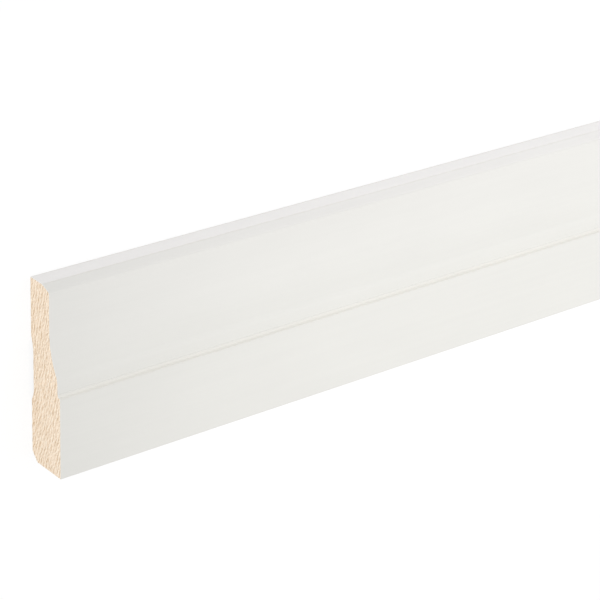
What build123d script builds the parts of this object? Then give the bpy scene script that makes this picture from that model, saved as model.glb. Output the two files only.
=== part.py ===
from build123d import *
import os

# Lambs tongue architrave: one length of primed pine moulding, lying on its back with the moulded face up.
# X runs along the length, Y across the width towards the thin edge, Z up through the thickness.

# Overall sizes in millimetres
length = 2100.0
width = 70.0
thickness = 18.0
thin_thickness = 11.7

# Flat face beside the thick edge, and the steep step at its inner side
thick_flat_width = 30.9
step_depth = 1.4
step_run = 0.25

# Narrow ledge at the foot of the step, coved into it, and the shallow quirk down to the belly
cove_radius = 0.8
ledge_width = 0.95
quirk_depth = 0.2
quirk_run = 0.15

# The lambs tongue: a level belly, then a convex and a concave arc down to the thin flat
belly_width = 3.5
ogee_run = 17.25
ogee_convex_run = 3.2

# Steep bevel on the front corner of the thin edge, and the easing between it and the thin flat
corner_bevel_width = 1.7
corner_bevel_depth = 4.3
corner_ease_radius = 1.2

# Shallow hollow along the back, its sides sweeping up in arcs
hollow_start = 23.7
hollow_width = 24.3
hollow_depth = 1.25
hollow_low_sweep = 4.0
hollow_high_sweep = 7.0

# Bevel along the back of the thick edge
back_bevel_width = 3.4
back_bevel_height = 3.0

# Easing of the sharp arrises
arris_radius = 0.4

# Places across the width
thick_edge = -width / 2
thin_edge = width / 2
step_top = thick_edge + thick_flat_width
step_foot = step_top + step_run
ledge_end = step_foot + ledge_width
belly_start = ledge_end + quirk_run
belly_end = belly_start + belly_width
ogee_turn = belly_end + ogee_convex_run
ogee_end = belly_end + ogee_run
corner_bevel_start = thin_edge - corner_bevel_width
hollow_low = thick_edge + hollow_start
hollow_high = hollow_low + hollow_width
floor_low = hollow_low + hollow_low_sweep
floor_high = hollow_high - hollow_high_sweep
back_bevel_end = thick_edge + back_bevel_width

# Heights above the back
ledge_height = thickness - step_depth
belly_height = ledge_height - quirk_depth
ogee_fall = belly_height - thin_thickness
turn_height = belly_height - ogee_fall * ogee_convex_run / ogee_run
thin_edge_height = thin_thickness - corner_bevel_depth

# Corners of the section
thick_front = (thick_edge, thickness)
step_arris = (step_top, thickness)
ledge_inner = (step_foot, ledge_height)
ledge_arris = (ledge_end, ledge_height)
belly_first = (belly_start, belly_height)
belly_last = (belly_end, belly_height)
turn_point = (ogee_turn, turn_height)
thin_flat_first = (ogee_end, thin_thickness)
thin_flat_last = (corner_bevel_start, thin_thickness)
thin_front = (thin_edge, thin_edge_height)
thin_back = (thin_edge, 0)
hollow_high_lip = (hollow_high, 0)
hollow_high_floor = (floor_high, hollow_depth)
hollow_low_floor = (floor_low, hollow_depth)
hollow_low_lip = (hollow_low, 0)
bevel_back = (back_bevel_end, 0)
bevel_foot = (thick_edge, back_bevel_height)

with BuildPart() as architrave:
    with BuildSketch(Plane.YZ) as section:
        with BuildLine():
            # Moulded face, from the thick edge to the thin edge
            Polyline(bevel_foot, thick_front, step_arris, ledge_inner, ledge_arris, belly_first, belly_last)
            TangentArc(belly_last, turn_point, tangent=(1, 0))
            TangentArc(thin_flat_first, turn_point, tangent=(-1, 0))
            # Thin flat, its bevelled corner, and the thin edge down to the back
            Polyline(thin_flat_first, thin_flat_last, thin_front, thin_back, hollow_high_lip)
            # Hollowed back, towards the thick edge
            TangentArc(hollow_high_floor, hollow_high_lip, tangent=(1, 0))
            Line(hollow_high_floor, hollow_low_floor)
            TangentArc(hollow_low_floor, hollow_low_lip, tangent=(-1, 0))
            Polyline(hollow_low_lip, bevel_back, bevel_foot)
        make_face()
        # Ease the three sharp arrises, the top of the bevelled corner and the inner corner of the step
        for corner in (thick_front, step_arris, thin_back):
            sharp = section.vertices().sort_by_distance((*corner, 0))[0]
            fillet(sharp, radius=arris_radius)
        bevel_top = section.vertices().sort_by_distance((*thin_flat_last, 0))[0]
        fillet(bevel_top, radius=corner_ease_radius)
        step_inner = section.vertices().sort_by_distance((*ledge_inner, 0))[0]
        fillet(step_inner, radius=cove_radius)
    extrude(amount=length / 2, both=True)

architrave.part.label = "architrave"

os.makedirs("parts", exist_ok=True)
export_step(architrave.part, "parts/architrave.step")
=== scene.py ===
import math

import bpy
import numpy as np
from mathutils import Matrix, Vector, noise


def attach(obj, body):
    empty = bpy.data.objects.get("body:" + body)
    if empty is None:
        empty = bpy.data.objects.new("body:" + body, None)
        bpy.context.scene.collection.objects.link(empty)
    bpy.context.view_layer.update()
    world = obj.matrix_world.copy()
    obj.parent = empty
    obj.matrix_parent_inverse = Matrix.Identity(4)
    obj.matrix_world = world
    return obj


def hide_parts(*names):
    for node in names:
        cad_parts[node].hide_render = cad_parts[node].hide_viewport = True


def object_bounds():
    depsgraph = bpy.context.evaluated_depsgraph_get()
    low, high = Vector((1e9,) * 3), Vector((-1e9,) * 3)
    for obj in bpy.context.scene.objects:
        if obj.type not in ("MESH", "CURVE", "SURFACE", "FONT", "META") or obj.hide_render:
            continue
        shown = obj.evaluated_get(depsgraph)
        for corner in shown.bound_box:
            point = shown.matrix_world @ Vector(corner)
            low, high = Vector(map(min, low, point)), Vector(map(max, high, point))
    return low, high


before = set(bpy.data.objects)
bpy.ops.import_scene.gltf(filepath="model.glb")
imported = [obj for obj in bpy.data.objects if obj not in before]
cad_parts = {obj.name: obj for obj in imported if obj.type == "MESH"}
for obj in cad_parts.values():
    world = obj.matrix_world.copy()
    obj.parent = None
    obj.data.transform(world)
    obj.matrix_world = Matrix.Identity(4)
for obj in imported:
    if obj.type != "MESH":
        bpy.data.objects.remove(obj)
cad_low, cad_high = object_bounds()

# Sizes of the section, in metres, as in the part's source
MM = 0.001
LENGTH = cad_high.x - cad_low.x
WIDTH = cad_high.y - cad_low.y
THICKNESS = cad_high.z - cad_low.z
THIN_THICKNESS = 11.7 * MM
THICK_FLAT_WIDTH = 30.9 * MM
STEP_DEPTH = 1.4 * MM
STEP_RUN = 0.25 * MM
COVE_RADIUS = 0.8 * MM
LEDGE_WIDTH = 0.95 * MM
QUIRK_DEPTH = 0.2 * MM
QUIRK_RUN = 0.15 * MM
BELLY_WIDTH = 3.5 * MM
OGEE_RUN = 17.25 * MM
OGEE_CONVEX_RUN = 3.2 * MM
CORNER_BEVEL_WIDTH = 1.7 * MM
CORNER_BEVEL_DEPTH = 4.3 * MM
CORNER_EASE_RADIUS = 1.2 * MM
HOLLOW_START = 23.7 * MM
HOLLOW_WIDTH = 24.3 * MM
HOLLOW_DEPTH = 1.25 * MM
HOLLOW_LOW_SWEEP = 4.0 * MM
HOLLOW_HIGH_SWEEP = 7.0 * MM
BACK_BEVEL_WIDTH = 3.4 * MM
BACK_BEVEL_HEIGHT = 3.0 * MM
ARRIS_RADIUS = 0.4 * MM

# Fineness of the mesh
ARC_STEPS = 20
CELL_ACROSS = 0.25 * MM
CLOSEST_STATIONS = 0.03 * MM
ROWS_THROUGH = 44
RINGS_ALONG = 22
SHARP_ANGLE = math.radians(30)

# The sawn ends: a slight bevel round the rim, and growth rings cut nearly along the width
RIM_BEVEL = 0.12 * MM
RIM_PAINT_REACH = 0.5 * MM
PITH_DISTANCE = 420 * MM
RING_SPACING = 1.5 * MM
RING_TILT = math.radians(16)
RING_WAVER = 0.45 * MM
RING_WAVERS_PER_METRE = 110
NEAR_END_SEED = 3.0
FAR_END_SEED = 8.0

# Relief of the sawn ends: torn rings, saw lines and fuzz
RING_RELIEF = 0.06 * MM
SAW_PITCH = 1.3 * MM
SAW_SLANT = 0.2
SAW_RELIEF = 0.02 * MM
FUZZ_RELIEF = 0.04 * MM
FUZZ_PER_METRE_ACROSS = 1600
FUZZ_PER_METRE_THROUGH = 2600

# Where the primer is thin: along the arrises
WORN_REACH = 0.45 * MM

# Painted light: the primer is made whiter where light falls on it, from 0 on the thick flat to 1 on the
# thin edge; least on the bevel near the sawn ends, which leaves it darker there as painted shade
THIN_FLAT_PAINTED_LIGHT = 0.15
THIN_FLAT_PAINTED_LIGHT_START = 0.5
THIN_FLAT_PAINTED_LIGHT_RUN = 0.25
BEVEL_PAINTED_LIGHT = 0.65
BEVEL_PAINTED_LIGHT_AT_END = 0.2
BEVEL_PAINTED_LIGHT_REACH = 150 * MM
THIN_EDGE_PAINTED_LIGHT = 1.0
BEVEL_EASING = 0.3 * MM

# How far the primer in the step is warmer and thin, and lighter as painted light that lifts the step's
# shade, on its wall and on the ledge
STEP_WALL_WARMTH_AND_LIGHT = 0.6
LEDGE_WARMTH_AND_LIGHT = 0.35

# Places on the bake map: the long sides in its lower half, one sawn end above the other in its upper half
SIDES_MAP_MARGIN = 0.003
SIDES_MAP_LENGTH = 0.994
SIDES_MAP_HEIGHT = 0.49
ENDS_MAP_MARGIN = 0.005
ENDS_MAP_LENGTH = 0.99
ENDS_MAP_HEIGHT = 0.24
NEAR_END_MAP_LOW = 0.5
FAR_END_MAP_LOW = 0.75

# Which material a face has
PRIMER_SLOT = 0
PINE_SLOT = 1

# Camera, from the near end's corners and the long edges in the photograph
CAMERA_EYE = Vector((-1.43711, 0.37051, 0.61615))
CAMERA_AIM = Vector((-0.94731, 0.00623, 0.018))
CAMERA_UP = Vector((0.23815, 0.90385, -0.35545))
CAMERA_LENS_MM = 142.27
SENSOR_MM = 36.0


# The outline of the section

def tangent_arc(start, end, tangent):
    """Points of the arc that leaves start along tangent and ends at end."""
    start, end, tangent = np.array(start), np.array(end), np.array(tangent, float)
    chord = end - start
    normal = np.array([-tangent[1], tangent[0]])
    radius = chord @ chord / (2 * chord @ normal)
    centre = start + normal * radius
    sweep = 2 * math.atan2(chord @ normal, chord @ tangent)
    turns = np.linspace(0, sweep, ARC_STEPS + 1)
    spoke = start - centre
    across = np.array([-spoke[1], spoke[0]])
    return [centre + math.cos(turn) * spoke + math.sin(turn) * across for turn in turns]


def eased_corner(before, corner, after, radius):
    """Points of the small arc that rounds a corner between two straight lines."""
    before, corner, after = np.array(before), np.array(corner), np.array(after)
    inward = (before - corner) / np.linalg.norm(before - corner)
    outward = (after - corner) / np.linalg.norm(after - corner)
    half_angle = math.acos(float(np.clip(inward @ outward, -1, 1))) / 2
    reach = radius / math.tan(half_angle)
    return tangent_arc(corner + inward * reach, corner + outward * reach, -inward)


def front_outline():
    """The moulded face from the thick edge to the thin edge, as rows of (y, z)."""
    thick_edge, thin_edge = cad_low.y, cad_high.y
    ledge_height = THICKNESS - STEP_DEPTH
    belly_height = ledge_height - QUIRK_DEPTH
    fall = belly_height - THIN_THICKNESS
    thick_foot = (thick_edge, BACK_BEVEL_HEIGHT)
    thick_front = (thick_edge, THICKNESS)
    step_arris = (thick_edge + THICK_FLAT_WIDTH, THICKNESS)
    ledge_inner = (step_arris[0] + STEP_RUN, ledge_height)
    ledge_arris = (ledge_inner[0] + LEDGE_WIDTH, ledge_height)
    belly_first = (ledge_arris[0] + QUIRK_RUN, belly_height)
    belly_last = (belly_first[0] + BELLY_WIDTH, belly_height)
    turn = (belly_last[0] + OGEE_CONVEX_RUN, belly_height - fall * OGEE_CONVEX_RUN / OGEE_RUN)
    thin_first = (belly_last[0] + OGEE_RUN, THIN_THICKNESS)
    thin_last = (thin_edge - CORNER_BEVEL_WIDTH, THIN_THICKNESS)
    thin_front = (thin_edge, THIN_THICKNESS - CORNER_BEVEL_DEPTH)
    points = eased_corner(thick_foot, thick_front, step_arris, ARRIS_RADIUS)
    points += eased_corner(thick_front, step_arris, ledge_inner, ARRIS_RADIUS)
    points += eased_corner(step_arris, ledge_inner, ledge_arris, COVE_RADIUS)
    points += [ledge_arris, belly_first]
    points += tangent_arc(belly_last, turn, (1, 0))
    points += tangent_arc(thin_first, turn, (-1, 0))[::-1]
    points += eased_corner(thin_first, thin_last, thin_front, CORNER_EASE_RADIUS)
    points += [thin_front]
    return np.array(points)


def back_outline():
    """The back from the thick edge to the thin edge, as rows of (y, z)."""
    thick_edge, thin_edge = cad_low.y, cad_high.y
    low_lip = (thick_edge + HOLLOW_START, 0)
    high_lip = (low_lip[0] + HOLLOW_WIDTH, 0)
    low_floor = (low_lip[0] + HOLLOW_LOW_SWEEP, HOLLOW_DEPTH)
    high_floor = (high_lip[0] - HOLLOW_HIGH_SWEEP, HOLLOW_DEPTH)
    thin_back = (thin_edge, 0)
    thin_front = (thin_edge, THIN_THICKNESS - CORNER_BEVEL_DEPTH)
    points = [(thick_edge, BACK_BEVEL_HEIGHT), (thick_edge + BACK_BEVEL_WIDTH, 0)]
    points += tangent_arc(low_floor, low_lip, (-1, 0))[::-1]
    points += tangent_arc(high_floor, high_lip, (1, 0))
    points += eased_corner(high_lip, thin_back, thin_front, ARRIS_RADIUS)
    return np.array(points)


def section_grid():
    """y and z of a grid that fills the section: columns across it, and rows from the back to the face."""
    front, back = front_outline(), back_outline()
    evenly = np.arange(cad_low.y, cad_high.y, CELL_ACROSS)
    wanted = np.sort(np.concatenate([front[:, 0], back[:, 0], evenly]))
    stations = [wanted[0]]
    for place in wanted[1:]:
        if place - stations[-1] > CLOSEST_STATIONS:
            stations.append(place)
    stations[-1] = cad_high.y
    stations = np.array(stations)
    low = np.interp(stations, back[:, 0], back[:, 1])
    high = np.interp(stations, front[:, 0], front[:, 1])
    share = np.linspace(0, 1, ROWS_THROUGH + 1)
    z = low[:, None] + (high - low)[:, None] * share[None, :]
    y = np.repeat(stations[:, None], ROWS_THROUGH + 1, axis=1)
    return y, z


def rim_order(columns, rows):
    """Grid places round the rim: along the back, up the thin edge, along the face, down the thick edge."""
    order = [(i, 0) for i in range(columns - 1)]
    order += [(columns - 1, j) for j in range(rows - 1)]
    order += [(i, rows - 1) for i in range(columns - 1, 0, -1)]
    order += [(0, j) for j in range(rows - 1, 0, -1)]
    return order


def distances_round(outline):
    """Distance along a closed outline to each of its points, and at last back to the first."""
    distances = [0.0]
    for here, following in zip(outline, outline[1:] + outline[:1]):
        distances.append(distances[-1] + math.dist(here, following))
    return distances


# Relief of the sawn ends, and what is painted on the long sides

def ring_place(y, z, seed):
    """Which growth ring a place on the sawn end lies in, counted from the pith."""
    pith_y = PITH_DISTANCE * math.sin(RING_TILT)
    pith_z = -PITH_DISTANCE * math.cos(RING_TILT)
    waver_place = Vector((y * RING_WAVERS_PER_METRE, z * RING_WAVERS_PER_METRE, seed))
    waver = noise.noise(waver_place) * RING_WAVER
    return (math.hypot(y - pith_y, z - pith_z) + waver) / RING_SPACING


def from_zero_to_one(swing):
    """A value between -1 and 1, moved to between 0 and 1."""
    return 0.5 + 0.5 * swing


def end_relief(y, z, seed):
    """How far the sawn end lies inside its plane: torn early wood, saw lines and fuzz."""
    torn = from_zero_to_one(math.cos(2 * math.pi * ring_place(y, z, seed)))
    saw = from_zero_to_one(math.sin(2 * math.pi * (z + SAW_SLANT * y) / SAW_PITCH))
    fuzz_place = Vector((y * FUZZ_PER_METRE_ACROSS, z * FUZZ_PER_METRE_THROUGH, seed))
    fuzz = from_zero_to_one(noise.noise(fuzz_place))
    return torn * RING_RELIEF + saw * SAW_RELIEF + fuzz * FUZZ_RELIEF


def worn_share(y, z):
    """How thin the primer is at a place of the outline: most on the arrises."""
    step_y = cad_low.y + THICK_FLAT_WIDTH
    thin_front_z = THIN_THICKNESS - CORNER_BEVEL_DEPTH
    arrises = ((cad_low.y, THICKNESS), (step_y, THICKNESS), (cad_high.y, thin_front_z), (cad_high.y, 0))
    nearest = min(math.hypot(y - arris_y, z - arris_z) for arris_y, arris_z in arrises)
    return math.exp(-(nearest / WORN_REACH) ** 2)


def painted_light_share(to_end, y, z, on_thin_edge):
    """How much painted light whitens the primer: little on the flats, more on the bevel and most on the
    thin edge.
    """
    if on_thin_edge:
        return THIN_EDGE_PAINTED_LIGHT
    if z < THIN_THICKNESS - BEVEL_EASING:
        inward = min(to_end / BEVEL_PAINTED_LIGHT_REACH, 1.0)
        return BEVEL_PAINTED_LIGHT_AT_END + (BEVEL_PAINTED_LIGHT - BEVEL_PAINTED_LIGHT_AT_END) * inward
    across = (y - cad_low.y) / WIDTH
    towards_thin_edge = (across - THIN_FLAT_PAINTED_LIGHT_START) / THIN_FLAT_PAINTED_LIGHT_RUN
    return THIN_FLAT_PAINTED_LIGHT * float(np.clip(towards_thin_edge, 0, 1))


def step_warmth_and_light(y):
    """How far the primer is warmer and thin, and lighter as painted light against the step's shade, at a
    place across the moulded face.
    """
    step_top = cad_low.y + THICK_FLAT_WIDTH
    wall_end = step_top + STEP_RUN + COVE_RADIUS / 2
    ledge_end = step_top + STEP_RUN + LEDGE_WIDTH
    if step_top < y < wall_end:
        return STEP_WALL_WARMTH_AND_LIGHT
    if wall_end <= y < ledge_end:
        return LEDGE_WARMTH_AND_LIGHT
    return 0.0


def side_paint(x, y, z, place, shape):
    """What is painted on a point of the long sides, from its place in the section's grid and its shape."""
    column, row = place
    columns, rows = shape
    on_back = row == 0
    on_thick_edge = column == 0
    on_thin_edge = column == columns - 1 and 0 < row < rows - 1
    to_end = LENGTH / 2 - abs(x)
    return {
        "rim": 1.0,
        "worn": worn_share(y, z),
        # Painted light: whiter primer on the thin edge, the bevel and the thin flat, none on the back or
        # the thick edge
        "painted_light": 0.0 if on_back or on_thick_edge else painted_light_share(to_end, y, z, on_thin_edge),
        # Painted light: the step's wall and ledge lighter to lift their shade, and warmer where the primer
        # is thin
        "warm_and_lit": 0.0 if on_back else step_warmth_and_light(y),
        "back": 1.0 if on_back else 0.0,
    }


# The mesh

class MeshParts:
    """Points, faces and what is painted on them, gathered before the mesh is made."""

    def __init__(self):
        self.points = []
        self.painted = {"ring": [], "rim": [], "worn": [], "painted_light": [], "warm_and_lit": [], "back": []}
        self.faces = []
        self.face_maps = []
        self.slots = []

    def add_point(self, place, **values):
        self.points.append(place)
        for name, stored in self.painted.items():
            stored.append(values.get(name, 0.0))
        return len(self.points) - 1

    def add_face(self, corners, maps, slot):
        self.faces.append(corners)
        self.face_maps += maps
        self.slots.append(slot)

    def make_mesh(self, name):
        mesh = bpy.data.meshes.new(name)
        mesh.from_pydata(self.points, [], self.faces)
        mesh.polygons.foreach_set("material_index", self.slots)
        mesh.polygons.foreach_set("use_smooth", [True] * len(self.faces))
        for label, stored in self.painted.items():
            layer = mesh.attributes.new(label, "FLOAT", "POINT")
            layer.data.foreach_set("value", stored)
        map_layer = mesh.uv_layers.new(name="OFBake")
        map_layer.data.foreach_set("uv", np.array(self.face_maps, dtype=np.float32).ravel())
        mesh.set_sharp_from_angle(angle=SHARP_ANGLE)
        mesh.update()
        return mesh


def end_map(y, z, map_low):
    """Place on the bake map of a place on a sawn end."""
    across = (y - cad_low.y) / WIDTH
    through = z / THICKNESS
    low = map_low + ENDS_MAP_MARGIN
    return (ENDS_MAP_MARGIN + ENDS_MAP_LENGTH * across, low + ENDS_MAP_HEIGHT * through)


def side_map(along, around):
    """Place on the bake map of a place on the long sides, from its shares of the length and the outline."""
    return (SIDES_MAP_MARGIN + SIDES_MAP_LENGTH * along, SIDES_MAP_MARGIN + SIDES_MAP_HEIGHT * around)


def add_sawn_end(parts, grid_y, grid_z, end_x, inward, seed, map_low):
    """A sawn end over the whole section, a little smaller for the rim's bevel; gives its point numbers."""
    columns, rows = grid_y.shape
    middle = 0.5 * (grid_z[:, :1] + grid_z[:, -1:])
    local_thickness = grid_z[:, -1:] - grid_z[:, :1]
    inset_y = grid_y * (1 - RIM_BEVEL / (WIDTH / 2))
    inset_z = middle + (grid_z - middle) * (1 - 2 * RIM_BEVEL / local_thickness)
    numbers = np.zeros((columns, rows), dtype=int)
    for i in range(columns):
        for j in range(rows):
            y, z = float(inset_y[i, j]), float(inset_z[i, j])
            to_side = WIDTH / 2 - abs(y)
            to_rim = min(to_side, z - float(grid_z[i, 0]), float(grid_z[i, -1]) - z)
            rim = max(0.0, 1 - to_rim / RIM_PAINT_REACH)
            x = end_x + inward * end_relief(y, z, seed) * (1 - rim)
            numbers[i, j] = parts.add_point((x, y, z), ring=ring_place(y, z, seed), rim=rim)
    for i in range(columns - 1):
        for j in range(rows - 1):
            places = [(i, j), (i + 1, j), (i + 1, j + 1), (i, j + 1)]
            if inward > 0:
                places.reverse()
            maps = [end_map(grid_y[place], grid_z[place], map_low) for place in places]
            parts.add_face([int(numbers[place]) for place in places], maps, PINE_SLOT)
    return numbers


def add_long_sides(parts, grid_y, grid_z, near_rim, far_rim):
    """Rings of the full section along the length, joined to each other and to the rims of the sawn ends."""
    rim = rim_order(*grid_y.shape)
    outline = [(float(grid_y[place]), float(grid_z[place])) for place in rim]
    distances = distances_round(outline)
    loops = [near_rim]
    alongs = [0.0]
    for x in np.linspace(cad_low.x + RIM_BEVEL, cad_high.x - RIM_BEVEL, RINGS_ALONG):
        x = float(x)
        loop = []
        for place, (y, z) in zip(rim, outline):
            paint = side_paint(x, y, z, place, grid_y.shape)
            loop.append(parts.add_point((x, y, z), **paint))
        loops.append(loop)
        alongs.append((x - cad_low.x) / LENGTH)
    loops.append(far_rim)
    alongs.append(1.0)
    for before, after, start, end in zip(loops, loops[1:], alongs, alongs[1:]):
        for k in range(len(rim)):
            following = (k + 1) % len(rim)
            low = distances[k] / distances[-1]
            high = distances[k + 1] / distances[-1]
            corners = [before[k], before[following], after[following], after[k]]
            maps = [side_map(start, low), side_map(start, high), side_map(end, high), side_map(end, low)]
            parts.add_face(corners, maps, PRIMER_SLOT)


def build_moulding():
    """The whole moulding as one closed mesh, with painted sides and sawn ends."""
    parts = MeshParts()
    grid_y, grid_z = section_grid()
    rim = rim_order(*grid_y.shape)
    near = add_sawn_end(parts, grid_y, grid_z, cad_low.x, 1, NEAR_END_SEED, NEAR_END_MAP_LOW)
    far = add_sawn_end(parts, grid_y, grid_z, cad_high.x, -1, FAR_END_SEED, FAR_END_MAP_LOW)
    near_rim = [int(near[place]) for place in rim]
    far_rim = [int(far[place]) for place in rim]
    add_long_sides(parts, grid_y, grid_z, near_rim, far_rim)
    return parts.make_mesh("primed_moulding")


# Nodes of the materials

# The range that most values of a noise lie in
USUAL_NOISE = (0.3, 0.7)

# Sockets of the Mix node that take and give colours
MIX_SHARE = 0
MIX_FIRST = 6
MIX_SECOND = 7
MIX_RESULT = 2


def add_node(tree, kind, settings=None, values=None):
    """A new node with its settings, and its inputs as values or links."""
    made = tree.nodes.new(kind)
    for name, value in (settings or {}).items():
        setattr(made, name, value)
    for name, value in (values or {}).items():
        if isinstance(value, bpy.types.NodeSocket):
            tree.links.new(value, made.inputs[name])
        else:
            made.inputs[name].default_value = value
    return made


def new_material(name):
    """An empty node material with its output, and its tree."""
    material = bpy.data.materials.new(name)
    material.use_nodes = True
    tree = material.node_tree
    tree.nodes.clear()
    return material, tree, tree.nodes.new("ShaderNodeOutputMaterial")


def scaled_place(tree, cell, turn):
    """Places on the object counted in cells of the given sizes in metres, turned about the length."""
    where = tree.nodes.new("ShaderNodeTexCoord").outputs["Object"]
    values = {"Vector": where, "Rotation": (turn, 0, 0), "Scale": cell}
    return add_node(tree, "ShaderNodeMapping", {"vector_type": "TEXTURE"}, values).outputs["Vector"]


def cell_noise(tree, cell, turn=0.0, detail=2.0):
    """Noise whose cells have the given sizes in metres, turned about the length."""
    values = {"Vector": scaled_place(tree, cell, turn), "Scale": 1.0, "Detail": detail}
    return add_node(tree, "ShaderNodeTexNoise", None, values).outputs["Fac"]


def painted(tree, name):
    """A value painted on the mesh's points."""
    return add_node(tree, "ShaderNodeAttribute", {"attribute_name": name}).outputs["Fac"]


def ranged(tree, source, to_span, span=USUAL_NOISE):
    """A value moved from one span to another and held at the ends."""
    values = {
        "Value": source,
        "From Min": span[0],
        "From Max": span[1],
        "To Min": to_span[0],
        "To Max": to_span[1],
    }
    return add_node(tree, "ShaderNodeMapRange", None, values).outputs["Result"]


def combined(tree, operation, first, second):
    """Two values put together by a math operation."""
    return add_node(tree, "ShaderNodeMath", {"operation": operation}, {0: first, 1: second}).outputs[0]


def mixed(tree, share, first, second, blend="MIX"):
    """Two colours mixed by a share, and held between 0 and 1."""
    settings = {"data_type": "RGBA", "blend_type": blend, "clamp_result": True}
    values = {MIX_SHARE: share, MIX_FIRST: first, MIX_SECOND: second}
    return add_node(tree, "ShaderNodeMix", settings, values).outputs[MIX_RESULT]


def toned(tree, colour, tone):
    """A colour made lighter or darker by a tone."""
    return mixed(tree, 1.0, colour, tone, "MULTIPLY")


def bumped(tree, height, depth, before=None):
    """A surface raised by height, of at most the given depth in metres, on top of an earlier bump."""
    values = {"Height": height, "Distance": depth, "Strength": 1.0}
    if before:
        values["Normal"] = before
    return add_node(tree, "ShaderNodeBump", None, values).outputs["Normal"]


def finish_material(tree, output, colour, roughness, normal):
    """The surface of a material, from its colour, roughness and bump."""
    values = {"Base Color": colour, "Roughness": roughness, "Normal": normal}
    shader = add_node(tree, "ShaderNodeBsdfPrincipled", None, values)
    tree.links.new(shader.outputs["BSDF"], output.inputs["Surface"])


# The primer

PRIMER_COLOUR = (0.775, 0.768, 0.733, 1)
# Primer made whiter as painted light, where light falls on the thin edge, the bevel and the thin flat
PAINTED_LIGHT_PRIMER_COLOUR = (0.875, 0.86, 0.85, 1)
BACK_PRIMER_COLOUR = (0.76, 0.742, 0.69, 1)
# Lighter, warmer primer for the step: warmer where the primer is thin, lighter as painted light that lifts
# the step's shade
STEP_WARM_AND_LIT_PRIMER_COLOUR = (0.86, 0.84, 0.785, 1)
WORN_PRIMER_COLOUR = (0.72, 0.69, 0.63, 1)
PRIMER_ROUGHNESS = (0.36, 0.46)

# Grain, mottle and speckle: their cells along, across and through, then their tones and bump
GRAIN_CELL = (160 * MM, 1.1 * MM, 1.1 * MM)
GRAIN_DETAIL = 3.0
GRAIN_TONES = (0.994, 1.005)
GRAIN_BUMP = 0.03 * MM
MOTTLE_CELL = (35 * MM, 12 * MM, 12 * MM)
MOTTLE_TONES = (0.99, 1.01)
SPECKLE_CELL = (2.2 * MM, 0.8 * MM, 0.8 * MM)
SPECKLE_BUMP = 0.012 * MM

# Worn primer on the arrises, broken up by the speckle
WORN_STRENGTH = 0.35
WORN_SPECKLE = (0.35, 0.65)
WORN_SPECKLE_SHARE = (0.25, 1.0)

# Grain that shows through the thinner primer of the back
BACK_GRAIN_STRENGTH = 0.7
BACK_GRAIN = (0.35, 0.6)
BACK_GRAIN_TONES = (0.86, 1.0)


def primer_material():
    """Satin white primer over planed pine, with the grain showing faintly through it, and painted light on
    the thin edge, the bevel, the thin flat and the step.
    """
    material, tree, output = new_material("white_primer")
    grain = cell_noise(tree, GRAIN_CELL, detail=GRAIN_DETAIL)
    mottle = cell_noise(tree, MOTTLE_CELL)
    speckle = cell_noise(tree, SPECKLE_CELL)
    back = painted(tree, "back")
    worn_speckle = ranged(tree, speckle, WORN_SPECKLE_SHARE, WORN_SPECKLE)
    worn = combined(tree, "MULTIPLY", painted(tree, "worn"), worn_speckle)
    # Painted light: whiter primer on the thin edge, the bevel and the thin flat's side
    colour = mixed(tree, painted(tree, "painted_light"), PRIMER_COLOUR, PAINTED_LIGHT_PRIMER_COLOUR)
    # Painted light: the step lighter to lift its shade, and warmer where its primer is thin
    colour = mixed(tree, painted(tree, "warm_and_lit"), colour, STEP_WARM_AND_LIT_PRIMER_COLOUR)
    colour = mixed(tree, back, colour, BACK_PRIMER_COLOUR)
    colour = mixed(tree, combined(tree, "MULTIPLY", worn, WORN_STRENGTH), colour, WORN_PRIMER_COLOUR)
    colour = toned(tree, colour, ranged(tree, grain, GRAIN_TONES))
    colour = toned(tree, colour, ranged(tree, mottle, MOTTLE_TONES))
    back_grain_share = combined(tree, "MULTIPLY", back, BACK_GRAIN_STRENGTH)
    back_grain_tone = ranged(tree, grain, BACK_GRAIN_TONES, BACK_GRAIN)
    colour = mixed(tree, back_grain_share, colour, back_grain_tone, "MULTIPLY")
    raised = bumped(tree, grain, GRAIN_BUMP)
    raised = bumped(tree, speckle, SPECKLE_BUMP, raised)
    finish_material(tree, output, colour, ranged(tree, mottle, PRIMER_ROUGHNESS), raised)
    return material


# The bare sawn ends

EARLY_WOOD_COLOUR = (0.985, 0.83, 0.668, 1)
LATE_WOOD_COLOUR = (0.61, 0.43, 0.258, 1)
PALE_FIBRE_COLOUR = (1.0, 0.89, 0.76, 1)
TORN_FIBRE_COLOUR = (0.68, 0.52, 0.35, 1)
PINE_ROUGHNESS = (0.68, 0.88)

# Noise on the sawn ends: its cells are long along the stock, and small across and through it
CELL_ALONG = 1.0
FINE_CELL = (CELL_ALONG, 0.7 * MM, 0.3 * MM)
FINE_TONES = (0.85, 1.13)
FINE_BUMP = 0.02 * MM
RAGGED_CELL = (CELL_ALONG, 3.5 * MM, 1.0 * MM)
PATCH_CELL = (CELL_ALONG, 3.0 * MM, 1.0 * MM)

# Late wood: how ragged the rings are and where their dark rises and falls, as shares of a ring, and patches
RAGGED_SHIFT = (-0.3, 0.3)
LATE_WOOD_RISE = (0.2, 0.6)
LATE_WOOD_FALL = (0.6, 1.0)
PATCHES = (0.4, 0.6)
PATCH_STRENGTH = (0.4, 1.0)

# Fibres: short streaks that lie nearly along the width, torn and dark or standing and pale
FIBRE_CELL = (CELL_ALONG, 1.1 * MM, 1.1 * MM)
FIBRE_TILT = math.radians(26)
FIBRE_ACROSS = (0.0, 0.035, 1.0)
FIBRE_STRAIGHTNESS = 0.8
TORN_FIBRES = (0.5, 0.65)
TORN_FIBRE_SHARE = (0.0, 0.6)
PALE_FIBRES = (0.5, 0.35)
PALE_FIBRE_SHARE = (0.0, 0.75)
FIBRE_BUMP = 0.012 * MM

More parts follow.
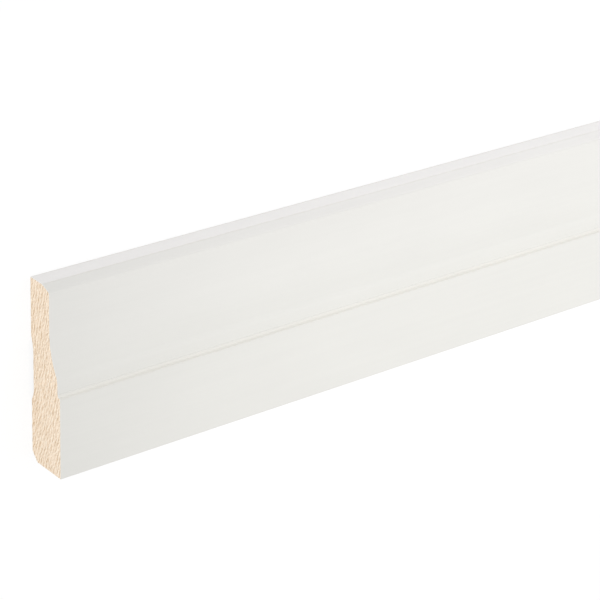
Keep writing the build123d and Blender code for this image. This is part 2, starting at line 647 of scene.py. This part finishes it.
# Primer that wraps raggedly round the rim
RIM_SHIFT = (-0.35, 0.35)
RIM_PAINT = (0.55, 0.85)
RIM_PAINT_SHARE = (0.0, 0.9)


def fibre_streaks(tree):
    """Short fine streaks across the sawn ends, about as long as a cell, light and dark in turn."""
    values = {
        "Vector": scaled_place(tree, FIBRE_CELL, FIBRE_TILT),
        "Scale": 1.0,
        "Frequency": 1.0,
        "Anisotropy": FIBRE_STRAIGHTNESS,
        "Orientation": FIBRE_ACROSS,
    }
    return add_node(tree, "ShaderNodeTexGabor", {"gabor_type": "3D"}, values).outputs["Value"]


def late_wood_share(tree):
    """How dark the late wood is: ragged rings, darkest past their middle and broken into patches."""
    ragged = cell_noise(tree, RAGGED_CELL, RING_TILT)
    patches = cell_noise(tree, PATCH_CELL, RING_TILT)
    ring = combined(tree, "ADD", painted(tree, "ring"), ranged(tree, ragged, RAGGED_SHIFT))
    within = combined(tree, "FRACT", ring, 0.0)
    rise = ranged(tree, within, (0.0, 1.0), LATE_WOOD_RISE)
    fall = ranged(tree, within, (1.0, 0.0), LATE_WOOD_FALL)
    late = combined(tree, "MULTIPLY", rise, fall)
    return combined(tree, "MULTIPLY", late, ranged(tree, patches, PATCH_STRENGTH, PATCHES))


def pine_material():
    """Bare sawn end grain of pine: growth rings, torn fibres, and primer that wraps round the rim."""
    material, tree, output = new_material("sawn_pine")
    fibres = fibre_streaks(tree)
    fine = cell_noise(tree, FINE_CELL, RING_TILT)
    colour = mixed(tree, late_wood_share(tree), EARLY_WOOD_COLOUR, LATE_WOOD_COLOUR)
    colour = mixed(tree, ranged(tree, fibres, TORN_FIBRE_SHARE, TORN_FIBRES), colour, TORN_FIBRE_COLOUR)
    colour = mixed(tree, ranged(tree, fibres, PALE_FIBRE_SHARE, PALE_FIBRES), colour, PALE_FIBRE_COLOUR)
    colour = toned(tree, colour, ranged(tree, fine, FINE_TONES))
    wrapped = combined(tree, "ADD", painted(tree, "rim"), ranged(tree, fine, RIM_SHIFT))
    wrapped = ranged(tree, wrapped, RIM_PAINT_SHARE, RIM_PAINT)
    colour = mixed(tree, wrapped, colour, PRIMER_COLOUR)
    raised = bumped(tree, fibres, FIBRE_BUMP)
    raised = bumped(tree, fine, FINE_BUMP, raised)
    finish_material(tree, output, colour, ranged(tree, fine, PINE_ROUGHNESS), raised)
    return material


# The studio

WHITE = (1, 1, 1, 1)
FLOOR_COLOUR = (0.95, 0.95, 0.95, 1)
FLOOR_HALF = 30.0
FLOOR_DROP = 0.1 * MM
FLOOR_WHITE_STRENGTH = 1.04
FLOOR_SHADOW_SHARE = 0.18
WORLD_LIGHT_STRENGTH = 0.735
WORLD_WHITE_STRENGTH = 1.0


def link_light_and_seen(tree, output, light, seen):
    """One shader for the light that falls on things, another for what the camera, gloss or glass shows."""
    path = tree.nodes.new("ShaderNodeLightPath").outputs
    direct = combined(tree, "MAXIMUM", path["Is Camera Ray"], path["Is Glossy Ray"])
    direct = combined(tree, "MAXIMUM", direct, path["Is Transmission Ray"])
    values = {"Fac": direct, 1: light.outputs[0], 2: seen.outputs[0]}
    either = add_node(tree, "ShaderNodeMixShader", None, values)
    tree.links.new(either.outputs[0], output.inputs["Surface"])


def make_floor():
    """A white floor that keeps the shadow faintly."""
    mesh = bpy.data.meshes.new("floor")
    signs = ((-1, -1), (1, -1), (1, 1), (-1, 1))
    corners = [(FLOOR_HALF * side_x, FLOOR_HALF * side_y, -FLOOR_DROP) for side_x, side_y in signs]
    mesh.from_pydata(corners, [], [(0, 1, 2, 3)])
    floor = bpy.data.objects.new("floor", mesh)
    bpy.context.scene.collection.objects.link(floor)
    material, tree, output = new_material("floor_white")
    bounce = add_node(tree, "ShaderNodeBsdfDiffuse", None, {"Color": FLOOR_COLOUR})
    white = add_node(tree, "ShaderNodeEmission", None, {"Color": WHITE, "Strength": FLOOR_WHITE_STRENGTH})
    shaded = add_node(tree, "ShaderNodeBsdfDiffuse", None, {"Color": WHITE})
    values = {"Fac": FLOOR_SHADOW_SHARE, 1: white.outputs[0], 2: shaded.outputs[0]}
    seen = add_node(tree, "ShaderNodeMixShader", None, values)
    link_light_and_seen(tree, output, bounce, seen)
    mesh.materials.append(material)


def make_world():
    """Even white light, and white where it is seen directly."""
    world = bpy.data.worlds.new("studio")
    bpy.context.scene.world = world
    world.use_nodes = True
    tree = world.node_tree
    tree.nodes.clear()
    output = tree.nodes.new("ShaderNodeOutputWorld")
    light = add_node(tree, "ShaderNodeBackground", None, {"Color": WHITE, "Strength": WORLD_LIGHT_STRENGTH})
    white = add_node(tree, "ShaderNodeBackground", None, {"Color": WHITE, "Strength": WORLD_WHITE_STRENGTH})
    link_light_and_seen(tree, output, light, white)


def add_softbox(name, place, aim, size, power, in_gloss):
    """A rectangular soft light at place, facing aim, that gloss may or may not reflect."""
    data = bpy.data.lights.new(name, "AREA")
    data.shape = "RECTANGLE"
    data.size, data.size_y = size
    data.energy = power
    lamp = bpy.data.objects.new(name, data)
    lamp.visible_camera = False
    lamp.visible_glossy = in_gloss
    lamp.location = place
    lamp.rotation_euler = (Vector(aim) - Vector(place)).to_track_quat("-Z", "Y").to_euler()
    bpy.context.scene.collection.objects.link(lamp)


def make_lights():
    """A long key over the face, a fill along the thin edge, and a fill at each sawn end."""
    add_softbox(
        "key",
        place=(0.0, -0.008, 0.135),
        aim=(0.0, -0.008, 0.0),
        size=(2.084, 0.25),
        power=0.725,
        in_gloss=True,
    )
    add_softbox(
        "edge_fill",
        place=(0.05, 0.48, 0.15),
        aim=(0.05, 0.0, 0.01),
        size=(1.9, 0.25),
        power=0.63,
        in_gloss=False,
    )
    for name, side in (("near_end_fill", -1), ("far_end_fill", 1)):
        add_softbox(
            name,
            place=(side * 2.7, 0.25, 0.3),
            aim=(side * LENGTH / 2, 0.0, 0.01),
            size=(1.2, 0.6),
            power=7.2,
            in_gloss=False,
        )


def make_camera():
    """The photograph's view of the near end, looking down on the moulding as it lies."""
    data = bpy.data.cameras.new("camera")
    data.lens = CAMERA_LENS_MM
    data.sensor_width = SENSOR_MM
    camera = bpy.data.objects.new("camera", data)
    back = (CAMERA_EYE - CAMERA_AIM).normalized()
    right = CAMERA_UP.cross(back).normalized()
    up = back.cross(right)
    turned = Matrix((right, up, back)).transposed().to_4x4()
    camera.matrix_world = Matrix.Translation(CAMERA_EYE) @ turned
    bpy.context.scene.collection.objects.link(camera)
    bpy.context.scene.camera = camera


# The moulding and its setting

moulding = bpy.data.objects.new("primed_moulding", build_moulding())
bpy.context.scene.collection.objects.link(moulding)
moulding.data.materials.append(primer_material())
moulding.data.materials.append(pine_material())
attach(moulding, "root")
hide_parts("architrave")

make_floor()
make_world()
make_lights()
make_camera()
bpy.context.scene.view_settings.view_transform = "Standard"
